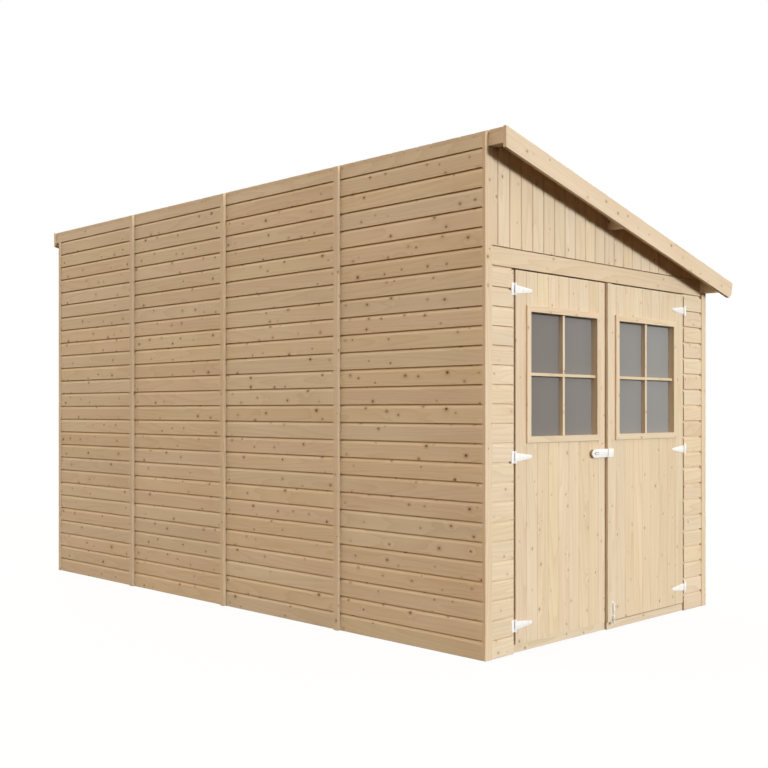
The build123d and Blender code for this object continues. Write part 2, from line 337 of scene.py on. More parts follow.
    @staticmethod
    def row(piece: Piece, count: int, step: Sequence[float]) -> None:
        """Repeats a piece in a row, as one mesh.

        Args:
            piece: The piece to repeat.
            count: How many there are in the row.
            step: How far it is from one to the next.
        """
        Bench.apply(
            piece, "ARRAY", count=count, use_relative_offset=False, use_constant_offset=True,
            constant_offset_displace=tuple(step), use_merge_vertices=False,
        )

    @staticmethod
    def carve(piece: Piece, cutter: Piece) -> None:
        """Takes a cutter's shape out of a piece, and throws the cutter away."""
        Bench.apply(piece, "BOOLEAN", operation="DIFFERENCE", solver="EXACT", object=cutter)
        bpy.data.objects.remove(cutter)

    @staticmethod
    def ease(piece: Piece, width: float) -> None:
        """Rounds every sharp edge a little.

        Args:
            piece: The piece to ease.
            width: How far the rounding reaches from each edge.
        """
        Bench.apply(
            piece, "BEVEL", width=width, segments=ROUNDED, limit_method="ANGLE",
            angle_limit=SHARP_TURN, harden_normals=False,
        )

    @staticmethod
    def solid(name: str, source: Piece) -> Piece:
        """Copies a node's solid as one closed skin without its inner triangle edges.

        Args:
            name: The copy's name.
            source: The node's object.

        Returns:
            The copy, with a mesh of its own and no finish.
        """
        piece = bpy.data.objects.new(name, source.data.copy())
        bpy.context.scene.collection.objects.link(piece)
        piece.data.materials.clear()
        with Bench.editing(piece):
            bpy.ops.mesh.select_all(action="SELECT")
            bpy.ops.mesh.remove_doubles(threshold=MERGE)
            bpy.ops.mesh.dissolve_limited(angle_limit=FLAT_TURN)
        return piece


class Model:
    """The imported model, which gives every piece its place."""

    def __init__(self) -> None:
        """Loads the frame and keeps its box."""
        self.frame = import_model()
        self.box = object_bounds()

    def node(self, name: str) -> Piece:
        """The object of a CAD node."""
        return self.frame["nodes"][name]

    def corners(self, name: str) -> np.ndarray:
        """The corner points of a CAD node, one to a row."""
        return np.array([corner.co for corner in self.node(name).data.vertices])


def hang(piece: Piece, body: Body, slot: Slot, *nodes: str) -> None:
    """Puts a finished piece on its body.

    Args:
        piece: The finished piece.
        body: The body that carries it.
        slot: The slot that its finish belongs to; not used.
        nodes: The CAD nodes that it stands for.
    """
    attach(piece, body.value)
    if nodes:
        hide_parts(*nodes)
    LOG.info("%s rides on %s, with %d faces", piece.name, body.value, len(piece.data.polygons))


def islands(mesh: bpy.types.Mesh) -> np.ndarray:
    """Numbers the separate timbers in a mesh.

    Args:
        mesh: The mesh to look through.

    Returns:
        For each vertex, the number of its timber, from 0.
    """
    edges = np.zeros(len(mesh.edges) * 2, np.int64)
    mesh.edges.foreach_get("vertices", edges)
    edges = edges.reshape(-1, 2)
    label = np.arange(len(mesh.vertices))
    while True:
        before = label.copy()
        lowest = label[edges].min(axis=1)
        np.minimum.at(label, edges[:, 0], lowest)
        np.minimum.at(label, edges[:, 1], lowest)
        label = label[label]
        if (label == before).all():
            return np.unique(label, return_inverse=True)[1]


def mark(mesh: bpy.types.Mesh, name: str, values: Sequence[float]) -> None:
    """Keeps a value for each face of a mesh, for its finish to read."""
    mesh.attributes.new(name, "FLOAT", "FACE").data.foreach_set("value", values)


class NodeSheet:
    """A tree of nodes, with short calls for the nodes that the finishes and the sky use."""

    def __init__(self, owner: bpy.types.Material | bpy.types.World) -> None:
        """Starts an empty tree.

        Args:
            owner: The material or the world that the tree belongs to.
        """
        owner.use_nodes = True
        self.tree = owner.node_tree
        self.tree.nodes.clear()

    def add(self, kind: str, inputs: Inputs | None = None, **settings: object) -> bpy.types.Node:
        """Adds a node.

        Args:
            kind: The node's type.
            inputs: A socket to link or a value to set, for each input by name or number.
            settings: The node's own values.

        Returns:
            The new node.
        """
        node = self.tree.nodes.new(kind)
        for key, value in settings.items():
            setattr(node, key, value)
        for key, value in (inputs or {}).items():
            if isinstance(value, Socket):
                self.tree.links.new(value, node.inputs[key])
            else:
                node.inputs[key].default_value = value
        return node

    def math(self, operation: str, first: Socket | float, second: Socket | float = 0.0) -> Socket:
        """The result of one sum."""
        return self.add("ShaderNodeMath", {0: first, 1: second}, operation=operation).outputs[0]

    def scaled(self, socket: Socket, factor: float, shift: Socket | float = 0.0) -> Socket:
        """A socket times a factor, plus a shift."""
        inputs = {0: socket, 1: factor, 2: shift}
        return self.add("ShaderNodeMath", inputs, operation="MULTIPLY_ADD").outputs[0]

    def spread(
        self, socket: Socket, start: float, end: float,
        low: float = 0.0, high: float = 1.0, smooth: bool = False,
    ) -> Socket:
        """Maps a range of values to another one.

        Args:
            socket: The value to map.
            start: The value that gives low.
            end: The value that gives high.
            low: The result at the start.
            high: The result at the end.
            smooth: Whether the change eases in and out.

        Returns:
            The mapped value, kept between low and high.
        """
        return self.add(
            "ShaderNodeMapRange",
            {"Value": socket, "From Min": start, "From Max": end, "To Min": low, "To Max": high},
            interpolation_type="SMOOTHSTEP" if smooth else "LINEAR", clamp=True,
        ).outputs["Result"]

    def vector(self, x: Socket | float, y: Socket | float, z: Socket | float) -> Socket:
        """A vector from three values."""
        return self.add("ShaderNodeCombineXYZ", {0: x, 1: y, 2: z}).outputs[0]

    def noise(self, vector: Socket, scale: float, detail: float, rough: float = 0.5) -> Socket:
        """A cloudy value between 0 and 1."""
        inputs = {"Vector": vector, "Scale": scale, "Detail": detail, "Roughness": rough}
        return self.add("ShaderNodeTexNoise", inputs, noise_dimensions="3D").outputs[0]

    def mix(self, share: Socket | float, first: Socket | Colour, second: Socket | Colour) -> Socket:
        """One colour over another, by a share, on the node's sockets for colours."""
        return self.add("ShaderNodeMix", {0: share, 6: first, 7: second}, data_type="RGBA").outputs[2]

    def blend(self, share: Socket, first: Socket, second: Socket) -> Socket:
        """One value over another, by a share, on the node's sockets for values."""
        return self.add("ShaderNodeMix", {0: share, 2: first, 3: second}, data_type="FLOAT").outputs[0]

    def channels(self, colour: Socket) -> Sequence[Socket]:
        """The three channels of a colour."""
        return self.add("ShaderNodeSeparateColor", {0: colour}).outputs

    def attribute(self, name: str) -> Socket:
        """A value that the mesh holds for each face, or 0."""
        return self.add("ShaderNodeAttribute", attribute_name=name).outputs["Fac"]

    def place(self, turn: float = 0.0) -> Sequence[Socket]:
        """The place on the piece.

        Args:
            turn: An angle about X that levels the roof's slope.

        Returns:
            The x, y and z of the place, after the turn.
        """
        vector = self.add("ShaderNodeTexCoord").outputs["Object"]
        if turn:
            inputs = {"Vector": vector, "Rotation": (turn, 0.0, 0.0)}
            vector = self.add("ShaderNodeMapping", inputs).outputs[0]
        return self.add("ShaderNodeSeparateXYZ", {0: vector}).outputs

    def bump(self, height: Socket, strength: float, distance: float) -> Socket:
        """The normal of a surface with small relief."""
        inputs = {"Height": height, "Strength": strength, "Distance": distance}
        return self.add("ShaderNodeBump", inputs).outputs[0]


def material(name: str, draw: Callable[[NodeSheet], Inputs]) -> bpy.types.Material:
    """A material by its name, made the first time that it is asked for.

    Args:
        name: The material's name.
        draw: Draws the material's nodes and gives the inputs of its surface.

    Returns:
        The material.
    """
    found = bpy.data.materials.get(name)
    if found is None:
        found = bpy.data.materials.new(name)
        sheet = NodeSheet(found)
        surface = sheet.add("ShaderNodeBsdfPrincipled", draw(sheet))
        sheet.add("ShaderNodeOutputMaterial", {"Surface": surface.outputs[0]})
    return found


@dataclass(frozen=True)
class Streaks:
    """A cloudy pattern that is drawn out along the grain."""

    along: float
    across: float
    detail: float
    rough: float = 0.5

    def draw(self, sheet: NodeSheet, run: Sequence[Socket]) -> Socket:
        """Draws the pattern.

        Args:
            sheet: The material's nodes.
            run: The place along the grain, beside it and in depth.

        Returns:
            A value between 0 and 1.
        """
        scales = (self.along, self.across, self.across)
        stretched = [sheet.scaled(part, scale) for part, scale in zip(run, scales)]
        return sheet.noise(sheet.vector(*stretched), 1.0, self.detail, self.rough)


@dataclass(frozen=True)
class Softwood:
    """Planed softwood with growth rings, fibres, small knots, a tint for each timber and painted shade
    inside the joints.

    A knot's edges are in shares of its radius, and a pair holds the two ends of a range.
    """

    name: str
    early: Colour = (0.760, 0.590, 0.405, 1.0)
    late: Colour = (0.600, 0.410, 0.240, 1.0)
    halo: Colour = (0.430, 0.250, 0.115, 1.0)
    knot: Colour = (0.130, 0.060, 0.024, 1.0)
    # Painted shade: the warm dark brown put on the faces inside the joints, where shade falls in the
    # grooves
    groove_shade_colour: Colour = (0.600, 0.370, 0.110, 1.0)
    timber_shifts: tuple[float, float, float] = (37.0, 11.0, 23.0)
    ripple: Streaks = Streaks(along=2.4, across=26.0, detail=2.0)
    rings: Streaks = Streaks(along=0.55, across=9.0, detail=0.0)
    fibre: Streaks = Streaks(along=7.0, across=380.0, detail=2.0, rough=0.6)
    cloud: Streaks = Streaks(along=1.6, across=5.0, detail=1.0)
    ring_count: float = 12.0
    ring_ripple: float = 0.07
    ring_swirl: float = 0.06
    ring_fade: float = 2.2
    end_ring_count: float = 190.0
    end_ring_ripple: float = 0.012
    ring_share: float = 0.36
    fibre_reach: Range = (0.3, 0.75)
    fibre_share: float = 0.25
    cloud_share: Range = (-0.10, 0.16)
    end_share: float = 0.12
    knot_cells: float = 9.5
    knot_scatter: float = 0.9
    knot_stretch: float = 0.8
    knot_share: float = 0.75
    knot_radius: Range = (0.0030, 0.0068)
    knot_strength: Range = (0.25, 0.90)
    core_edge: Range = (1.05, 0.45)
    halo_edge: Range = (2.6, 0.8)
    swirl_edge: Range = (7.0, 0.0)
    halo_share: float = 0.45
    # How strongly the painted shade goes on inside the joints
    groove_shade: float = 0.0
    tint_seeds: float = 913.0
    hue: Range = (0.496, 0.503)
    saturation: Range = (0.94, 1.06)
    brightness: Range = (0.965, 1.03)
    fibre_relief: float = 0.5
    ring_relief: float = 0.35
    knot_relief: float = 0.8
    bump_strength: float = 0.35
    bump_height: float = 0.0006
    roughness: Range = (0.68, 0.55)
    gloss: float = 0.3
    slope: float = 0.0

    def dress(self, piece: Piece, grain: Grain | None = None) -> None:
        """Gives each timber of a piece its tint, its end grain and the grain of its length.

        Args:
            piece: The finished mesh.
            grain: The grain of all of it, or None to follow each timber's length.
        """
        mesh = piece.data
        label = islands(mesh)
        points = np.array([corner.co for corner in mesh.vertices])
        low = np.full((label.max() + 1, 3), np.inf)
        high = -low
        np.minimum.at(low, label, points)
        np.maximum.at(high, label, points)
        longest = (high - low).argmax(axis=1)
        draw = np.random.default_rng(zlib.crc32(piece.name.encode()))
        tone = draw.random(len(low))
        timber = label[[face.vertices[0] for face in mesh.polygons]]
        normals = np.array([face.normal for face in mesh.polygons])
        axis = longest[timber]
        ends = np.abs(normals[np.arange(len(axis)), axis]) > ALIGNED
        mark(mesh, "tone", tone[timber])
        mark(mesh, "end_grain", ends.astype(float))
        for each in [grain] if grain else [Grain(number) for number in np.unique(axis)]:
            name = f"{self.name}_{each.name.lower()}"
            mesh.materials.append(material(name, lambda sheet: self._draw(sheet, each)))
        if not grain:
            mesh.polygons.foreach_set("material_index", np.unique(axis, return_inverse=True)[1])
        mesh.update()

    def _draw(self, sheet: NodeSheet, grain: Grain) -> Inputs:
        """Draws the wood for one direction of the grain.

        Args:
            sheet: The material's nodes.
            grain: Which way the grain runs.

        Returns:
            The inputs of its surface.
        """
        sloping = grain is Grain.DOWN_SLOPE
        place = sheet.place(self.slope if sloping else 0.0)
        lead = Grain.ACROSS.value if sloping else grain.value
        tone = sheet.attribute("tone")
        ends = sheet.attribute("end_grain")
        run = [
            sheet.scaled(tone, shift, place[(lead + turn) % 3])
            for turn, shift in enumerate(self.timber_shifts)
        ]
        core, ring, swirl = self._knots(sheet, run)
        bands = self._bands(sheet, run, swirl, ends)
        fibre = self.fibre.draw(sheet, run)
        cloud = self.cloud.draw(sheet, run)
        share = sheet.scaled(bands, self.ring_share)
        share = sheet.math("ADD", share, sheet.spread(fibre, *self.fibre_reach, 0.0, self.fibre_share))
        share = sheet.math("ADD", share, sheet.spread(cloud, *CLOUDY, *self.cloud_share))
        share = sheet.scaled(ends, self.end_share, share)
        colour = sheet.mix(sheet.spread(share, 0.0, 1.0), self.early, self.late)
        colour = self._tint(sheet, tone, colour)
        # Painted shade: the faces inside the joints are darkened towards a warm brown in place of the
        # shade in the grooves
        joint = sheet.scaled(sheet.attribute("joint"), self.groove_shade)
        colour = sheet.mix(joint, colour, self.groove_shade_colour)
        colour = sheet.mix(sheet.scaled(ring, self.halo_share), colour, self.halo)
        colour = sheet.mix(core, colour, self.knot)
        relief = sheet.scaled(core, self.knot_relief)
        relief = sheet.scaled(bands, self.ring_relief, relief)
        relief = sheet.scaled(fibre, self.fibre_relief, relief)
        return {
            "Base Color": colour,
            "Roughness": sheet.spread(bands, 0.0, 1.0, *self.roughness),
            "Specular IOR Level": self.gloss,
            "Normal": sheet.bump(relief, self.bump_strength, self.bump_height),
        }

    def _knots(self, sheet: NodeSheet, run: Sequence[Socket]) -> list[Socket]:
        """Scatters the knots, one at most to a cell.

        Args:
            sheet: The material's nodes.
            run: The place along the grain, beside it and in depth.

        Returns:
            How strongly a place lies in a knot's core, in its halo and in the swirl round it.
        """
        along, side, depth = run
        flat = sheet.vector(sheet.scaled(along, self.knot_stretch), sheet.math("ADD", side, depth), 0.0)
        cells = sheet.add(
            "ShaderNodeTexVoronoi",
            {"Vector": flat, "Scale": self.knot_cells, "Randomness": self.knot_scatter},
            voronoi_dimensions="2D", feature="F1",
        ).outputs
        chance = sheet.channels(cells["Color"])
        radius = sheet.spread(chance[0], 0.0, 1.0, *self.knot_radius)
        present = sheet.math(
            "MULTIPLY", sheet.math("LESS_THAN", chance[1], self.knot_share),
            sheet.spread(chance[2], 0.0, 1.0, *self.knot_strength),
        )
        near = sheet.math("DIVIDE", sheet.scaled(cells["Distance"], 1.0 / self.knot_cells), radius)
        return [
            sheet.math("MULTIPLY", sheet.spread(near, *edge, smooth=True), present)
            for edge in (self.core_edge, self.halo_edge, self.swirl_edge)
        ]

    def _bands(
        self, sheet: NodeSheet, run: Sequence[Socket], swirl: Socket, ends: Socket
    ) -> Socket:
        """Draws the growth rings, which show as bands on a face and closer together on an end.

        Args:
            sheet: The material's nodes.
            run: The place along the grain, beside it and in depth.
            swirl: How strongly the rings turn round a knot.
            ends: Whether the face is a timber's end.

        Returns:
            A value that rises from 0 to 1 over each ring.
        """
        ripple = self.ripple.draw(sheet, run)
        rings = sheet.scaled(ripple, self.ring_ripple, self.rings.draw(sheet, run))
        rings = sheet.scaled(swirl, self.ring_swirl, rings)
        bands = sheet.math("FRACT", sheet.scaled(rings, self.ring_count))
        bands = sheet.math("POWER", bands, self.ring_fade)
        across = sheet.scaled(ripple, self.end_ring_ripple, sheet.math("ADD", run[1], run[2]))
        return sheet.blend(
            ends, bands, sheet.math("FRACT", sheet.scaled(across, self.end_ring_count))
        )

    def _tint(self, sheet: NodeSheet, tone: Socket, colour: Socket) -> Socket:
        """Shifts the colour of each timber a little.

        Args:
            sheet: The material's nodes.
            tone: The timber's own number.
            colour: The colour of the wood.

        Returns:
            The colour of the timber.
        """
        seed = {"W": sheet.scaled(tone, self.tint_seeds)}
        dice = sheet.add("ShaderNodeTexWhiteNoise", seed, noise_dimensions="1D")
        ranges = {"Hue": self.hue, "Saturation": self.saturation, "Value": self.brightness}
        inputs: Inputs = {"Color": colour}
        for chance, (name, reach) in zip(sheet.channels(dice.outputs["Color"]), ranges.items()):
            inputs[name] = sheet.spread(chance, 0.0, 1.0, *reach)
        return sheet.add("ShaderNodeHueSaturation", inputs).outputs[0]


@dataclass(frozen=True)
class PaintedSteel:
    """White stoved paint on pressed steel, with a fine orange-peel skin."""

    name: str = "white_paint"
    paint: Colour = (0.926, 0.869, 0.823, 1.0)
    thin: Colour = (0.820, 0.773, 0.741, 1.0)
    thin_reach: Range = (0.45, 0.8)
    cloud_scale: float = 45.0
    peel_scale: float = 900.0
    peel_strength: float = 0.2
    peel_height: float = 0.0002
    roughness: Range = (0.30, 0.42)
    gloss: float = 0.5
    coat: float = 0.15

    def dress(self, piece: Piece) -> None:
        """Gives a piece the paint."""
        piece.data.materials.append(material(self.name, self._draw))

    def _draw(self, sheet: NodeSheet) -> Inputs:
        """Draws the paint.

        Args:
            sheet: The material's nodes.

        Returns:
            The inputs of its surface.
        """
        place = sheet.vector(*sheet.place())
        cloud = sheet.noise(place, self.cloud_scale, detail=2.0)
        peel = sheet.noise(place, self.peel_scale, detail=1.0)
        return {
            "Base Color": sheet.mix(sheet.spread(cloud, *self.thin_reach), self.paint, self.thin),
            "Roughness": sheet.spread(cloud, *CLOUDY, *self.roughness),
            "Specular IOR Level": self.gloss,
            "Coat Weight": self.coat,
            "Normal": sheet.bump(peel, self.peel_strength, self.peel_height),
        }


@dataclass(frozen=True)
class WindowSheet:
    """Grey semi-clear glazing sheet, a little cloudy, with a painted reflection that makes it paler
    towards the low wall.
    """

    name: str = "glazing"
    tint: Colour = (0.198, 0.170, 0.153, 1.0)
    # Painted reflection: the colour that the sheet is painted towards the low wall
    pale: Colour = (0.310, 0.291, 0.272, 1.0)
    reach: Range = (-0.75, 0.60)
    pale_share: Range = (-0.15, 0.85)
    cloud_scale: float = 1.6
    cloud_share: float = 0.3
    roughness: Range = (0.30, 0.40)
    gloss: float = 0.3
    cover: float = 0.95

    def dress(self, piece: Piece) -> None:
        """Puts the glazing on a piece in place of what it had."""
        piece.data.materials.clear()
        piece.data.materials.append(material(self.name, self._draw))

    def _draw(self, sheet: NodeSheet) -> Inputs:
        """Draws the glazing.

        Args:
            sheet: The material's nodes.

        Returns:
            The inputs of its surface.
        """
        place = sheet.place()
        cloud = sheet.noise(sheet.vector(*place), self.cloud_scale, detail=2.0)
        # Painted reflection, growing towards the low wall
        pale = sheet.spread(place[1], *self.reach, *self.pale_share)
        return {
            "Base Color": sheet.mix(sheet.scaled(cloud, self.cloud_share, pale), self.tint, self.pale),
            "Roughness": sheet.spread(cloud, *CLOUDY, *self.roughness),
            "Specular IOR Level": self.gloss,
            "Alpha": self.cover,
        }


@dataclass(frozen=True)
class CladdingBoard:
    """A lying board: flat face, chamfered upper edge, and a tongue behind the board above."""

    pitch: float
    foot: float
    chamfer_height: float = 0.012
    chamfer_depth: float = 0.0045
    tongue_height: float = 0.008
    tongue_depth: float = 0.012
    ease: float = 0.0012

    def panel(self, name: str, low: Vector, high: Vector, out: int, facing: int) -> Piece:
        """Boards a panel from the ground up and saws it off at its top.

        Args:
            name: The piece's name.
            low: The panel's lowest corner.
            high: The panel's highest corner.
            out: The axis that the boards face along, 0 or 1.
            facing: The side they face on that axis, 1 or -1.

        Returns:
            The boards, as one piece.
        """
        boards = self._board(name, low, high, out, facing)
        courses = math.ceil((high.z - low.z - self.foot - self.tongue_height) / self.pitch)
        Bench.row(boards, courses, UP * self.pitch)
        start = low.z + self.foot
        top = start + courses * self.pitch
        Bench.shift_faces(
            boards, lambda middle, normal: normal.z < -ALIGNED and middle.z < start + MERGE,
            UP * -self.foot,
        )
        Bench.shift_faces(
            boards, lambda middle, normal: normal.z > ALIGNED and middle.z > top - MERGE,
            UP * max(high.z - top, 0.0),
        )
        Bench.cut(boards, high, UP)
        self._mark_joints(boards, out, high[out] if facing > 0 else low[out])
        return boards

    def _board(self, name: str, low: Vector, high: Vector, out: int, facing: int) -> Piece:
        """Models one board over the foot of its panel.

        Args:
            name: The piece's name.
            low: The panel's lowest corner.
            high: The panel's highest corner.
            out: The axis that the board faces along.
            facing: The side it faces on that axis.

        Returns:
            The board.
        """
        thickness = high[out] - low[out]
        flat = self.pitch - self.chamfer_height - self.tongue_height
        bottom = low.z + self.foot
        board = Bench.slab(name, (low.x, low.y, bottom), (high.x, high.y, bottom + flat))
        back, face = (low, high) if facing > 0 else (high, low)
        shoulder = thickness - self.chamfer_depth
        with Bench.editing(board):
            Bench.pick_faces(board, lambda middle, normal: normal.z > ALIGNED)
            Bench.draw_out(UP * self.chamfer_height)
            Bench.squeeze(out, shoulder / thickness, back)
            Bench.draw_out((0.0, 0.0, 0.0))
            Bench.squeeze(out, (thickness - self.tongue_depth) / shoulder, back)
            Bench.draw_out(UP * self.tongue_height)
        Bench.bevel_edges(board, lambda middle, way: (
            abs(way[1 - out]) > ALIGNED
            and abs(middle[out] - face[out]) < MERGE
            and abs(middle.z - bottom) < MERGE
        ), self.ease, ROUNDED)
        return board

    def _mark_joints(self, boards: Piece, out: int, front: float) -> None:
        """Marks the faces inside the joints, where the wood may be given painted shade.

        Args:
            boards: The boards of a panel.
            out: The axis that they face along.
            front: Where their front lies on that axis.
        """
        depths = [abs(face.center[out] - front) for face in boards.data.polygons]
        mark(boards.data, "joint", [
            float(abs(face.normal.z) > ALIGNED or abs(depth - self.tongue_depth) < MERGE)
            for face, depth in zip(boards.data.polygons, depths)
        ])


@dataclass(frozen=True)
class UprightBoard:
    """A standing board with both its front edges chamfered and a tongue at its back."""

    pitch: float
    chamfer: float
    gap: float
    tongue: float = 0.006
    slack: float = 0.0002

    def rank(
        self, name: str, low: Vector, high: Vector, first_joint: float, facing: int = 1
    ) -> Piece:
        """Stands boards side by side across Y and saws the outer two to width.

        Args:
            name: The piece's name.
            low: The lowest corner of what they cover.
            high: The highest corner of what they cover.
            first_joint: How far the first joint lies from the low side.
            facing: The side they face on X, 1 or -1.

        Returns:
            The boards, as one piece.
        """
        start = low.y + first_joint - self.pitch + self.gap / 2
        end = start + self.pitch - self.gap
        back, face = (low.x, high.x) if facing > 0 else (high.x, low.x)
        tongue_face = (back + facing * self.tongue, 0.0, 0.0)
        board = Bench.slab(name, (low.x, start, low.z), (high.x, end, high.z))
        with Bench.editing(board):
            bpy.ops.mesh.select_all(action="SELECT")
            bpy.ops.mesh.bisect(plane_co=tongue_face, plane_no=(1.0, 0.0, 0.0))
        with Bench.editing(board):
            Bench.pick_faces(board, lambda middle, normal: (
                normal.y > ALIGNED and abs(middle.x - back) < self.tongue
            ))
            Bench.draw_out((0.0, self.gap - self.slack, 0.0))
        Bench.bevel_edges(board, lambda middle, way: (
            abs(way.z) > ALIGNED and abs(middle.x - face) < MERGE
        ), self.chamfer, CHAMFERED)
        count = math.ceil((high.y - start) / self.pitch)
        Bench.row(board, count, (0.0, self.pitch, 0.0))
        Bench.cut(board, low, (0.0, -1.0, 0.0))
        Bench.cut(board, high, (0.0, 1.0, 0.0))
        return board


@dataclass(frozen=True)
class RoofSlope:
    """The slope of the roof, read from the deck's corners."""

    high_edge: float
    underside: float
    slope: float

    @classmethod
    def read(cls, model: Model) -> "RoofSlope":
        """Reads the slope.

        Args:
            model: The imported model.

        Returns:
            The slope.
        """
        points = model.corners("roof_deck")
        start, end = points[:, 1].min(), points[:, 1].max()
        high = points[np.isclose(points[:, 1], start, atol=MERGE), 2]
        low = points[np.isclose(points[:, 1], end, atol=MERGE), 2]
        return cls(start, high.min(), (high.min() - low.min()) / (end - start))

    @property
    def angle(self) -> float:
        """The roof's angle, in radians."""
        return math.atan(self.slope)

    @property
    def outward(self) -> Vector:
        """The direction straight out of the roof."""
        return Vector((0.0, self.slope, 1.0)).normalized()

    @property
    def edge_point(self) -> Vector:
        """A point on the deck's underside, at the high edge."""
        return Vector((0.0, self.high_edge, self.underside))


@dataclass
class LongWalls:
    """The boarded panels of the high wall and the low wall."""

    wood: Softwood
    board: CladdingBoard = CladdingBoard(
        pitch=0.0904, foot=0.0018, chamfer_height=0.0132, tongue_height=0.0068
    )
    panel_count: int = 4

    def build(self) -> None:
        """Boards both walls, panel by panel."""
        for wall, facing in (("high", -1), ("low", 1)):
            for number in range(1, self.panel_count + 1):
                node = f"{wall}_wall_panel_{number}"
                piece = self.board.panel(f"{node}_boards", *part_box(node), 1, facing)
                self.wood.dress(piece)
                hang(piece, Body.SHED, Slot.CLADDING, node)


@dataclass
class Gables:
    """Both gables: lying boards, and standing boards under the roof."""

    model: Model
    wood: Softwood
    slope: RoofSlope
    board: CladdingBoard = CladdingBoard(pitch=0.0901, foot=0.0070)
    upright: UprightBoard = UprightBoard(pitch=0.0879, chamfer=0.0035, gap=0.004)
    first_joint: float = 0.047
    foot_gap: float = 0.004
    left_lift: float = 0.0055

    def build(self) -> None:
        """Boards both gables, with the boards left of the doorway clear of the ground."""
        lifted = replace(self.board, foot=self.board.foot - self.left_lift)
        self._lying_boards("front_wall_left", 1, lifted, self.left_lift)
        self._lying_boards("front_wall_right", 1, self.board)
        self._lying_boards("back_wall_panel_1", -1, self.board)
        self._lying_boards("back_wall_panel_2", -1, self.board)
        self._standing_boards("front_gable_boards", 1)
        self._standing_boards("back_gable_boards", -1)

    def _lying_boards(self, node: str, facing: int, board: CladdingBoard, lift: float = 0.0) -> None:
        """Boards one panel.

        Args:
            node: The panel's node.
            facing: The side that it faces on X, 1 or -1.
            board: The board to use.
            lift: How far the lowest board is kept off the ground.
        """
        low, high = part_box(node)
        piece = board.panel(f"{node}_boards", low + UP * lift, high, 0, facing)
        self.wood.dress(piece)
        hang(piece, Body.SHED, Slot.CLADDING, node)

    def _standing_boards(self, node: str, facing: int) -> None:
        """Stands boards on the rail, saws them to the roof and notches them round the purlins.

        Args:
            node: The gable's node.
            facing: The side they face on X, 1 or -1.
        """
        low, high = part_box(node)
        low.z += self.foot_gap
        piece = self.upright.rank(f"{node}_rank", low, high, self.first_joint, facing)
        Bench.cut(piece, self.slope.edge_point, self.slope.outward)
        Bench.carve(piece, Bench.solid("purlin_cutter", self.model.node("purlins")))
        self.wood.dress(piece, Grain.UPRIGHT)
        hang(piece, Body.SHED, Slot.CLADDING, node)


@dataclass
class PlainTimbers:
    """Sawn and planed timbers that keep their node's shape, with eased edges."""

    model: Model
    wood: Softwood
    ease: float = 0.0016

    def build(self, body: Body, slot: Slot, grain: Grain | None, *nodes: str) -> None:
        """Makes the timbers of several nodes.

        Args:
            body: The body that carries them.
            slot: Their slot.
            grain: Their grain, or None to follow each timber's length.
            nodes: Their nodes.
        """
        for node in nodes:
            self.finish(self.rough(node), body, slot, grain, node)

    def rough(self, node: str) -> Piece:
        """The timbers of a node, with sharp edges and no finish."""
        return Bench.solid(f"{node}_timber", self.model.node(node))

    def finish(self, piece: Piece, body: Body, slot: Slot, grain: Grain | None, node: str) -> None:
        """Eases, dresses and hangs the timbers of a node.

        Args:
            piece: The timbers.
            body: The body that carries them.
            slot: Their slot.
            grain: Their grain, or None to follow each timber's length.
            node: Their node.
        """
        Bench.ease(piece, self.ease)
        self.wood.dress(piece, grain)
        hang(piece, body, slot, node)


@dataclass
class CornerTrims:
    """The boards on the four corners."""

    timbers: PlainTimbers
    node: str = "corner_trims"
    lift: float = 0.0055
    proud: float = 0.008
    skim: float = 0.0002
    spare: float = 0.1

    def build(self) -> None:
        """Planes the back trim of the high wall, lifts the foot of the front one and dresses all four."""
        piece = self.timbers.rough(self.node)
        room = Vector((self.spare, self.spare, self.spare))
        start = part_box(self.node)[0] - room
        wall, wall_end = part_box("high_wall_panel_4")
        for bottom, front in ((start.z, wall.y - self.proud), (wall_end.z, wall.y + self.skim)):
            end = (wall.x + self.spare, front, wall_end.z + self.spare)
            Bench.carve(piece, Bench.slab("waste", (start.x, start.y, bottom), end))
        Bench.shift_faces(piece, lambda middle, normal: (
            normal.z < -ALIGNED and middle.x > 0.0 and middle.y < 0.0 and middle.z < MERGE
        ), UP * self.lift)
        self.timbers.finish(piece, Body.SHED, Slot.CLADDING, None, self.node)


@dataclass
class Bargeboards:
    """The boards along the roof's ends, sawn a little short at the high edge."""

    timbers: PlainTimbers
    node: str = "bargeboards"
    shorter: float = 0.010

    def build(self) -> None:
        """Saws and dresses both boards."""
        piece = self.timbers.rough(self.node)
        high_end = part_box(self.node)[0] + Vector((0.0, self.shorter, 0.0))
        Bench.cut(piece, high_end, (0.0, -1.0, 0.0))
        self.timbers.finish(piece, Body.SHED, Slot.CLADDING, Grain.DOWN_SLOPE, self.node)


